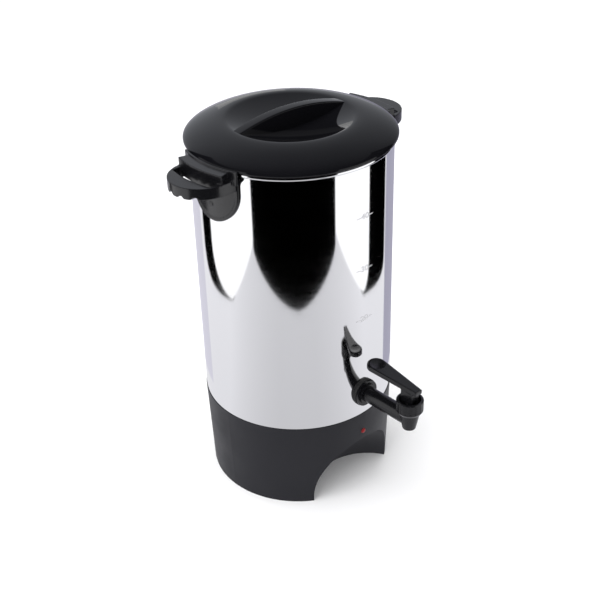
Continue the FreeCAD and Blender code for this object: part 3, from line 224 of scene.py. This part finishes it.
def polished_steel():
    """Bright steel whose faint polishing lines run round the body."""
    material, tree, principled = shader("polished_steel", (0.86, 0.86, 0.87), 1.0, 0.07)
    lines = noise(tree, 40.0, 6.0, (0.4, 0.4, 30.0))
    tree.links.new(spread(tree, lines, 0.045, 0.085), principled.inputs["Roughness"])
    bump(tree, principled, noise(tree, 9.0, 2.0, (1.0, 1.0, 0.35)), 0.05, 0.0008)
    return material


def plain_steel():
    material, tree, principled = shader("plain_steel", (0.62, 0.62, 0.63), 1.0, 0.3)
    grain = noise(tree, 180.0, 3.0, (1.0, 1.0, 0.1))
    tree.links.new(spread(tree, grain, 0.22, 0.38), principled.inputs["Roughness"])
    return material


def grained(name, dark, light, roughness, grain, specular, metallic):
    """A finish with a slight colour drift, uneven roughness and a fine grain."""
    material, tree, principled = shader(name, dark, metallic, roughness[0], specular)
    tree.links.new(spread(tree, noise(tree, 35.0), *roughness), principled.inputs["Roughness"])
    tint(tree, principled, noise(tree, 18.0, 3.0), dark, light)
    bump(tree, principled, noise(tree, grain[0], 5.0), 0.25, grain[1])
    return material


def red_lens():
    material, tree, principled = shader("red_lens", (0.20, 0.009, 0.011), 0.0, 0.32, 0.3)
    tint(tree, principled, noise(tree, 300.0, 2.0), (0.16, 0.006, 0.008), (0.24, 0.012, 0.014))
    return material


def marks_painted_highlight():
    """A flat matte pale grey painted on the level marks in place of the light and shade of the stamped steel
    relief, pale on dark reflections and grey on white ones.
    """
    # painted highlight: this diffuse grey stands in for the light caught by the stamped relief, not a colour
    # of the steel
    material, tree, principled = shader("stamped_mark_painted_highlight", (0.55, 0.55, 0.57), 0.0, 0.5, 0.2)
    tree.links.new(spread(tree, noise(tree, 900.0, 2.0), 0.35, 0.55), principled.inputs["Roughness"])
    return material


# Finishes with a colour drift and a grain, as slot, one colour, the other, roughness from and to,
# the grain's scale and height, specular level and metallic
FINISHES = (
    ("black_base", (0.011, 0.011, 0.014), (0.016, 0.016, 0.020), (0.40, 0.50), (1500.0, 0.00006), 0.22, 0.0),
    ("black_lid", (0.003, 0.003, 0.004), (0.005, 0.005, 0.006), (0.04, 0.065), (60.0, 0.00001), 0.22, 0.0),
    ("black_handle", (0.004, 0.004, 0.005), (0.006, 0.006, 0.007), (0.16, 0.24), (700.0, 0.00002), 0.5, 0.0),
    ("black_tap", (0.004, 0.004, 0.005), (0.006, 0.006, 0.007), (0.15, 0.24), (900.0, 0.00003), 0.4, 0.0),
    ("silicone", (0.014, 0.014, 0.015), (0.02, 0.02, 0.021), (0.55, 0.68), (500.0, 0.00005), 0.5, 0.0),
    ("pad_rubber", (0.012, 0.012, 0.012), (0.02, 0.02, 0.02), (0.65, 0.8), (600.0, 0.0001), 0.5, 0.0),
    ("aluminium_sheet", (0.76, 0.77, 0.78), (0.82, 0.83, 0.84), (0.2, 0.32), (200.0, 0.00003), 0.5, 1.0),
    ("control_case", (0.50, 0.45, 0.37), (0.56, 0.51, 0.43), (0.45, 0.6), (400.0, 0.00005), 0.5, 0.0),
    ("ceramic", (0.80, 0.78, 0.73), (0.86, 0.84, 0.80), (0.25, 0.35), (200.0, 0.00004), 0.5, 0.0),
    ("pin_brass", (0.70, 0.60, 0.38), (0.78, 0.68, 0.45), (0.25, 0.35), (300.0, 0.00003), 0.5, 1.0),
)
SLOTS = {"polished_steel": polished_steel(), "plain_steel": plain_steel(), "red_lens": red_lens()}
for finish in FINISHES:
    SLOTS[finish[0]] = grained(*finish)


def dress(obj, slot_name):
    obj.data.materials.clear()
    obj.data.materials.append(SLOTS[slot_name])


def stand_for(obj, node, body, slot_name):
    """Put a piece in the place of a CAD node."""
    dress(obj, slot_name)
    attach(obj, body)
    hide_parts(node)


def dress_nodes():
    """Give every carried-over node its slot's material and soft shading."""
    for entry in frame["record"]["subparts"]:
        obj = frame["nodes"][entry["node"]]
        dress(obj, entry["material_slot"])
        obj.data.shade_smooth()
        obj.data.set_sharp_from_angle(angle=math.radians(28.0))


def softened(node, body, slot_name, voxel, passes, keep, plugs=()):
    """A finer copy of a CAD node with rounded edges and plugged screw holes, in the node's place."""
    bm = bmesh.new()
    bm.from_mesh(frame["nodes"][node].data)
    bmesh.ops.remove_doubles(bm, verts=bm.verts, dist=1e-6)
    for middle in plugs:
        place = Matrix.Translation(middle) @ Matrix.Rotation(math.radians(90), 4, "Y")
        bmesh.ops.create_cone(
            bm,
            cap_ends=True,
            segments=24,
            radius1=PLUG_RADIUS,
            radius2=PLUG_RADIUS,
            depth=PLUG_DEPTH,
            matrix=place,
        )
    obj = mesh_object(f"{node}_soft", bm)
    remesh = obj.modifiers.new("even", "REMESH")
    remesh.mode = "VOXEL"
    remesh.voxel_size = voxel
    smooth = obj.modifiers.new("rounding", "SMOOTH")
    smooth.factor = 0.5
    smooth.iterations = passes
    thin = obj.modifiers.new("thin", "DECIMATE")
    thin.ratio = keep
    apply_modifiers(obj, 60.0)
    stand_for(obj, node, body, slot_name)
    return obj


# The steel body
def steel_body():
    bead_centre = (BODY_RADIUS, BEAD_HEIGHT)
    outline = [(BODY_RADIUS - STEEL, SEAM), (BODY_RADIUS - 0.0003, SEAM), (BODY_RADIUS, SEAM + 0.0003)]
    outline += arc(bead_centre, BEAD, -90, 252, 28)
    outline += [(BODY_RADIUS - STEEL, BEAD_HEIGHT - BEAD)]
    body = lathe("steel_body", outline)
    stand_for(body, "tank_shell", "root", "polished_steel")


def level_marks():
    """Numbers on the front of the body, each between two short dashes."""
    material = marks_painted_highlight()
    for height, number in LEVEL_MARKS:
        curve = bpy.data.curves.new(f"level_{number}", "FONT")
        curve.body = f"–{number}–"
        curve.size = MARK_HEIGHT * TEXT_PER_MARK
        curve.align_x = "CENTER"
        curve.align_y = "CENTER"
        curve.resolution_u = 4
        curve.offset = MARK_HEIGHT * MARK_WEIGHT
        flat = bpy.data.objects.new(f"level_{number}_flat", curve)
        bpy.context.scene.collection.objects.link(flat)
        graph = bpy.context.evaluated_depsgraph_get()
        mesh = bpy.data.meshes.new_from_object(flat.evaluated_get(graph))
        bpy.data.objects.remove(flat)
        bm = bmesh.new()
        bm.from_mesh(mesh)
        bmesh.ops.triangulate(bm, faces=bm.faces)
        bmesh.ops.subdivide_edges(bm, edges=bm.edges, cuts=1)
        radius = BODY_RADIUS + MARK_LIFT
        for vertex in bm.verts:
            angle = vertex.co.x * MARK_STRETCH / radius
            vertex.co = Vector(
                (radius * math.sin(angle), -radius * math.cos(angle), height + vertex.co.y)
            )
        mark = mesh_object(f"level_mark_{number}", bm)
        # the marks carry the painted highlight grey instead of the steel's own finish with its relief
        mark.data.materials.append(material)
        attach(mark, "root")


# The lid
def lid_outline():
    """Section of the lid from its edge over the crest to the middle of the hollow, and back."""
    rim_top = (LID_EDGE, LID_SEAT + 0.0022)
    crest = (CREST_RADIUS, CREST_HEIGHT)
    shoulder = bezier(rim_top, (LID_EDGE, 0.4290), (0.0870, CREST_HEIGHT), crest, 40)
    edge = arc((LID_EDGE - 0.0015, LID_SEAT + 0.0015), 0.0015, -90, 0, 6)
    depth = CREST_HEIGHT - HOLLOW_FLOOR
    span = (CREST_RADIUS ** 2 + depth ** 2) / (2 * depth)
    tilt = math.degrees(math.atan2(CREST_RADIUS, span - depth))
    roll = arc((CREST_RADIUS, CREST_HEIGHT - CREST_ROUND), CREST_ROUND, 90, 90 + tilt, 14)[1:]
    bowl_radius = span - CREST_ROUND
    bowl = arc((0.0, HOLLOW_FLOOR + bowl_radius), bowl_radius, -90 + tilt, -90, 40)[1:]
    under = [
        (0.0, HOLLOW_FLOOR - 0.003),
        (0.060, HOLLOW_FLOOR + 0.0035),
        (CREST_RADIUS, CREST_HEIGHT - 0.003),
    ]
    skirt_outer = BODY_RADIUS - BEAD - 0.0006
    skirt = [
        (skirt_outer - 0.002, 0.4245),
        (skirt_outer - 0.002, LID_SEAT - 0.009),
        (skirt_outer, LID_SEAT - 0.009),
        (skirt_outer, LID_SEAT),
    ]
    bowl[-1] = (0.0, bowl[-1][1])
    return edge + shoulder + roll + bowl + under + skirt


def grip_bar():
    """The bar across the hollow: an arched top with soft edges and upright sides."""
    bm = bmesh.new()
    half = GRIP_WIDTH / 2
    section = []
    for i in range(7):
        turn = math.radians(90 * i / 6)
        across = half - GRIP_ROUND + GRIP_ROUND * math.cos(turn)
        section.append((across, -GRIP_ROUND + GRIP_ROUND * math.sin(turn)))
    section += [(-across, rise) for across, rise in reversed(section)]
    rows = []
    for i in range(GRIP_STEPS + 1):
        along = -GRIP_REACH + 2 * GRIP_REACH * i / GRIP_STEPS
        arch = CREST_HEIGHT - 0.0004 + GRIP_RISE * (1 - (along / GRIP_REACH) ** 2)
        foot = HOLLOW_FLOOR - 0.002 + 0.0095 * (along / GRIP_REACH) ** 2
        row = [bm.verts.new((along, half, foot))]
        row += [bm.verts.new((along, across, arch + rise)) for across, rise in section]
        row += [bm.verts.new((along, -half, foot))]
        rows.append(row)
    for here, there in zip(rows, rows[1:]):
        for a, b, c, d in zip(here, here[1:] + here[:1], there[1:] + there[:1], there):
            bm.faces.new((a, b, c, d))
    bm.faces.new(rows[0])
    bm.faces.new(rows[-1])
    return mesh_object("grip_bar", bm, 40.0)


def lid_cover():
    cover = lathe("lid_cover", lid_outline(), STEPS_ROUND, 35.0)
    bar = grip_bar()
    for piece in (cover, bar):
        piece.data.transform(Matrix.Rotation(LID_TURN, 4, "Z"))
    stand_for(cover, "lid_shell", "lid", "black_lid")
    dress(bar, "black_lid")
    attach(bar, "lid")


# Floor, light and camera
def emission(name, color, strength):
    material = bpy.data.materials.new(name)
    material.use_nodes = True
    tree = material.node_tree
    tree.nodes.clear()
    glow = tree.nodes.new("ShaderNodeEmission")
    glow.inputs["Color"].default_value = (*color, 1.0)
    glow.inputs["Strength"].default_value = strength
    out = tree.nodes.new("ShaderNodeOutputMaterial")
    tree.links.new(glow.outputs["Emission"], out.inputs["Surface"])
    return material


def floor():
    bm = bmesh.new()
    bmesh.ops.create_grid(bm, x_segments=8, y_segments=8, size=6.0)
    obj = mesh_object("floor", bm)
    # Painted reflection: glossy rays see a glowing emission in place of the lit floor. It is brighter
    # farther from the urn and toward the sides away from the camera.
    material, tree, principled = shader("white_floor_and_painted_reflection", (0.92, 0.92, 0.93), 0.0, 0.9, 0.1)
    place = tree.nodes.new("ShaderNodeTexCoord")
    reach = tree.nodes.new("ShaderNodeVectorMath")
    reach.operation = "LENGTH"
    fade = tree.nodes.new("ShaderNodeMapRange")
    fade.inputs["From Min"].default_value = 0.20
    fade.inputs["From Max"].default_value = 0.60
    fade.inputs["To Min"].default_value = 0.66
    fade.inputs["To Max"].default_value = 0.72
    heading = tree.nodes.new("ShaderNodeVectorMath")
    heading.operation = "NORMALIZE"
    facing = tree.nodes.new("ShaderNodeVectorMath")
    facing.operation = "DOT_PRODUCT"
    facing.inputs[1].default_value = (math.sin(CAMERA_AZIMUTH), -math.cos(CAMERA_AZIMUTH), 0.0)
    sides = tree.nodes.new("ShaderNodeMapRange")
    sides.inputs["From Min"].default_value = 0.25
    sides.inputs["From Max"].default_value = 0.95
    sides.inputs["To Min"].default_value = 1.32
    sides.inputs["To Max"].default_value = 1.0
    product = tree.nodes.new("ShaderNodeMath")
    product.operation = "MULTIPLY"
    glow = tree.nodes.new("ShaderNodeEmission")
    glow.inputs["Color"].default_value = (0.96, 0.96, 1.0, 1.0)
    path = tree.nodes.new("ShaderNodeLightPath")
    mix = tree.nodes.new("ShaderNodeMixShader")
    tree.links.new(place.outputs["Object"], reach.inputs[0])
    tree.links.new(reach.outputs["Value"], fade.inputs["Value"])
    tree.links.new(place.outputs["Object"], heading.inputs[0])
    tree.links.new(heading.outputs["Vector"], facing.inputs[0])
    tree.links.new(facing.outputs["Value"], sides.inputs["Value"])
    tree.links.new(fade.outputs["Result"], product.inputs[0])
    tree.links.new(sides.outputs["Result"], product.inputs[1])
    tree.links.new(product.outputs["Value"], glow.inputs["Strength"])
    # glossy rays get the painted reflection glow, all other rays the evenly lit white floor
    tree.links.new(path.outputs["Is Glossy Ray"], mix.inputs["Fac"])
    tree.links.new(principled.outputs["BSDF"], mix.inputs[1])
    tree.links.new(glow.outputs["Emission"], mix.inputs[2])
    tree.links.new(mix.outputs["Shader"], tree.nodes["Material Output"].inputs["Surface"])
    obj.data.materials.append(material)


# Reflected studio: panels seen only in glossy surfaces, as name, from, low point, to, foot, top, distance,
# colour, and the rise and bluntness of the lower edge on each side of the low point.
# Directions are degrees to the right of the camera's own direction, seen from the urn.
BLACK = (0.0, 0.0, 0.0)
WHITE = (1.22, 1.22, 1.24)
FLAT = (0.0, 2.0)
PANELS = (
    ("flag_front", -42.5, 2.0, 42.5, 0.0, 0.90, 0.5355, BLACK, (0.104, 1.5), (0.104, 1.5)),
    ("flag_left", -114.5, -75.0, -67.0, 0.0, 0.90, 0.5237, BLACK, (0.120, 3.5), (0.020, 2.0)),
    ("flag_right", 72.0, 80.0, 116.0, 0.0, 0.90, 0.5237, BLACK, (0.030, 2.0), (0.060, 4.0)),
    ("card_left", -98.3, -71.7, -42.0, 0.0075, 0.58, 0.518, WHITE, (0.085, 2.0), (0.115, 1.2)),
    ("card_right", 42.5, 77.0, 85.5, 0.0098, 0.58, 0.518, WHITE, (0.125, 1.2), (0.050, 2.0)),
    ("screen_right", 105.5, 150.0, 180.0, -0.16, 0.42, 0.25, (0.42, 0.41, 0.51), FLAT, FLAT),
    ("screen_left", 180.0, 210.0, 252.5, -0.16, 0.42, 0.25, (0.72, 0.71, 0.80), FLAT, FLAT),
)


def reflected_panel(name, start, low, end, foot, top, distance, color, left, right):
    """A curved panel round the urn whose lower edge rises to both sides, seen only in reflections."""
    bm = bmesh.new()
    columns = 96
    rows = []
    for i in range(columns + 1):
        turn = start + (end - start) * i / columns
        side, reach = (left, low - start) if turn < low else (right, end - low)
        rise, bluntness = side
        across = min(1.0, abs(turn - low) / reach)
        lift = rise * (1 - (1 - across ** bluntness) ** (1 / bluntness))
        angle = CAMERA_AZIMUTH + math.radians(turn)
        x = distance * math.sin(angle)
        y = -distance * math.cos(angle)
        rows.append((bm.verts.new((x, y, foot + lift)), bm.verts.new((x, y, top))))
    for (a, b), (c, d) in zip(rows, rows[1:]):
        bm.faces.new((a, b, d, c))
    obj = mesh_object(name, bm)
    obj.data.materials.append(emission(name, color, 1.0))
    glossy_only(obj)


def glossy_only(obj):
    obj.visible_camera = False
    obj.visible_diffuse = False
    obj.visible_shadow = False
    obj.visible_transmission = False


# Bright sheets above the urn, seen only in reflections: name, turn from straight ahead of the camera,
# height above the horizon in degrees, distance, width, height, panes across and up, gap between panes, grey
SHEETS = (
    ("window", -6.0, 6.0, 3.0, 0.60, 0.62, 1, 4, 0.014, 1.1),
)


def bright_sheet(name, turn, rise, distance, width, height, across, up, gap, grey):
    """A flat sheet of panes that faces the lid."""
    heading = CAMERA_AZIMUTH + math.radians(180.0) - math.radians(turn)
    level = Vector((math.sin(heading), -math.cos(heading), 0.0))
    side = Vector((-level.y, level.x, 0.0))
    away = level * math.cos(math.radians(rise)) + Vector((0, 0, 1)) * math.sin(math.radians(rise))
    top = side.cross(away)
    centre = Vector((0, 0, CREST_HEIGHT)) + away * distance
    bm = bmesh.new()
    for i in range(across):
        for j in range(up):
            corners = []
            for u, v in ((i, j), (i + 1, j), (i + 1, j + 1), (i, j + 1)):
                trim_u = gap if u == i else -gap
                trim_v = gap if v == j else -gap
                shift_u = width * (u / across - 0.5) + trim_u
                shift_v = height * (v / up - 0.5) + trim_v
                corners.append(bm.verts.new(centre + side * shift_u + top * shift_v))
            bm.faces.new(corners)
    obj = mesh_object(name, bm)
    obj.data.materials.append(emission(name, (grey, grey, grey), 1.0))
    glossy_only(obj)


# Lamps, as name, place, aim, width, height and power. Polished pieces don't mirror them.
LAMPS = (
    ("overhead", (-0.3, 0.3, 2.2), (0, 0, 0.3), 1.6, 1.6, 30.0),
    ("side_left", (-2.0, -0.4, 1.0), (0, 0, 0.25), 1.2, 1.6, 18.0),
)


def area_light(name, place, aim, width, height, power):
    data = bpy.data.lights.new(name, "AREA")
    data.shape = "RECTANGLE"
    data.size = width
    data.size_y = height
    data.energy = power
    obj = bpy.data.objects.new(name, data)
    obj.location = place
    obj.rotation_euler = (Vector(aim) - Vector(place)).to_track_quat("-Z", "Y").to_euler()
    obj.visible_glossy = False
    bpy.context.scene.collection.objects.link(obj)
    return obj


def sky_ramp(tree, direction, reach, levels):
    """A brightness that changes with how far a ray points along a direction."""
    place = tree.nodes.new("ShaderNodeTexCoord")
    along = tree.nodes.new("ShaderNodeVectorMath")
    along.operation = "DOT_PRODUCT"
    along.inputs[1].default_value = direction
    ramp = tree.nodes.new("ShaderNodeMapRange")
    ramp.inputs["From Min"].default_value = reach[0]
    ramp.inputs["From Max"].default_value = reach[1]
    ramp.inputs["To Min"].default_value = levels[0]
    ramp.inputs["To Max"].default_value = levels[1]
    tree.links.new(place.outputs["Generated"], along.inputs[0])
    tree.links.new(along.outputs["Value"], ramp.inputs["Value"])
    return ramp.outputs["Result"]


def world():
    """White to the camera and for light, a dim sky that fades to the right and the front in reflections."""
    background = bpy.data.worlds.new("studio")
    bpy.context.scene.world = background
    background.use_nodes = True
    tree = background.node_tree
    tree.nodes.clear()
    path = tree.nodes.new("ShaderNodeLightPath")
    plain = tree.nodes.new("ShaderNodeBackground")
    plain.inputs["Color"].default_value = (1.0, 1.0, 1.0, 1.0)
    plain.inputs["Strength"].default_value = 1.0
    dark = tree.nodes.new("ShaderNodeBackground")
    dark.inputs["Color"].default_value = (0.9, 0.93, 1.0, 1.0)
    across = (math.cos(CAMERA_AZIMUTH), math.sin(CAMERA_AZIMUTH), 0.0)
    ahead = (-math.sin(CAMERA_AZIMUTH), math.cos(CAMERA_AZIMUTH), 0.0)
    leftward = sky_ramp(tree, across, (-0.8, 0.8), (0.90, 0.28))
    beyond = sky_ramp(tree, ahead, (-0.2, 0.7), (0.08, 1.0))
    product = tree.nodes.new("ShaderNodeMath")
    product.operation = "MULTIPLY"
    tree.links.new(leftward, product.inputs[0])
    tree.links.new(beyond, product.inputs[1])
    tree.links.new(product.outputs["Value"], dark.inputs["Strength"])
    reflected = tree.nodes.new("ShaderNodeMixShader")
    seen = tree.nodes.new("ShaderNodeBackground")
    seen.inputs["Color"].default_value = (1.0, 1.0, 1.0, 1.0)
    seen.inputs["Strength"].default_value = 1.0
    mix = tree.nodes.new("ShaderNodeMixShader")
    out = tree.nodes.new("ShaderNodeOutputWorld")
    tree.links.new(path.outputs["Is Camera Ray"], mix.inputs["Fac"])
    tree.links.new(path.outputs["Is Glossy Ray"], reflected.inputs["Fac"])
    tree.links.new(plain.outputs["Background"], reflected.inputs[1])
    tree.links.new(dark.outputs["Background"], reflected.inputs[2])
    tree.links.new(reflected.outputs["Shader"], mix.inputs[1])
    tree.links.new(seen.outputs["Background"], mix.inputs[2])
    tree.links.new(mix.outputs["Shader"], out.inputs["Surface"])


def camera():
    across = Vector((math.cos(CAMERA_AZIMUTH), math.sin(CAMERA_AZIMUTH), 0.0))
    level = Vector((-math.sin(CAMERA_AZIMUTH), math.cos(CAMERA_AZIMUTH), 0.0))
    ahead = level * math.cos(CAMERA_ELEVATION) - Vector((0, 0, 1)) * math.sin(CAMERA_ELEVATION)
    up = across.cross(ahead)
    right = across * math.cos(CAMERA_ROLL) - up * math.sin(CAMERA_ROLL)
    top = across * math.sin(CAMERA_ROLL) + up * math.cos(CAMERA_ROLL)
    data = bpy.data.cameras.new("camera")
    data.sensor_width = SENSOR
    data.lens = FOCAL_PIXELS * SENSOR / IMAGE_SIDE
    data.shift_x = (IMAGE_SIDE / 2 - TARGET_PIXEL[0]) / IMAGE_SIDE
    data.shift_y = (TARGET_PIXEL[1] - IMAGE_SIDE / 2) / IMAGE_SIDE
    data.clip_end = 50.0
    obj = bpy.data.objects.new("camera", data)
    turn = Matrix((right, top, -ahead)).transposed()
    obj.matrix_world = Matrix.Translation(CAMERA_TARGET - ahead * CAMERA_DISTANCE) @ turn.to_4x4()
    bpy.context.scene.collection.objects.link(obj)
    bpy.context.scene.camera = obj


def studio():
    bpy.context.scene.view_settings.view_transform = "Standard"
    floor()
    world()
    camera()
    for panel in PANELS:
        reflected_panel(*panel)
    for sheet in SHEETS:
        bright_sheet(*sheet)
    for lamp in LAMPS:
        area_light(*lamp)


dress_nodes()
steel_body()
level_marks()
lid_cover()
for handle, side in (("handle_left", -1), ("handle_right", 1)):
    ends = [Vector((side * PLUG_MIDDLE, 0.0, height)) for height in SCREW_HEIGHTS]
    softened(handle, "root", "black_handle", 0.0006, 5, 0.35, ends)
softened("tap_lever", "lever", "black_tap", 0.0004, 4, 0.35)
studio()
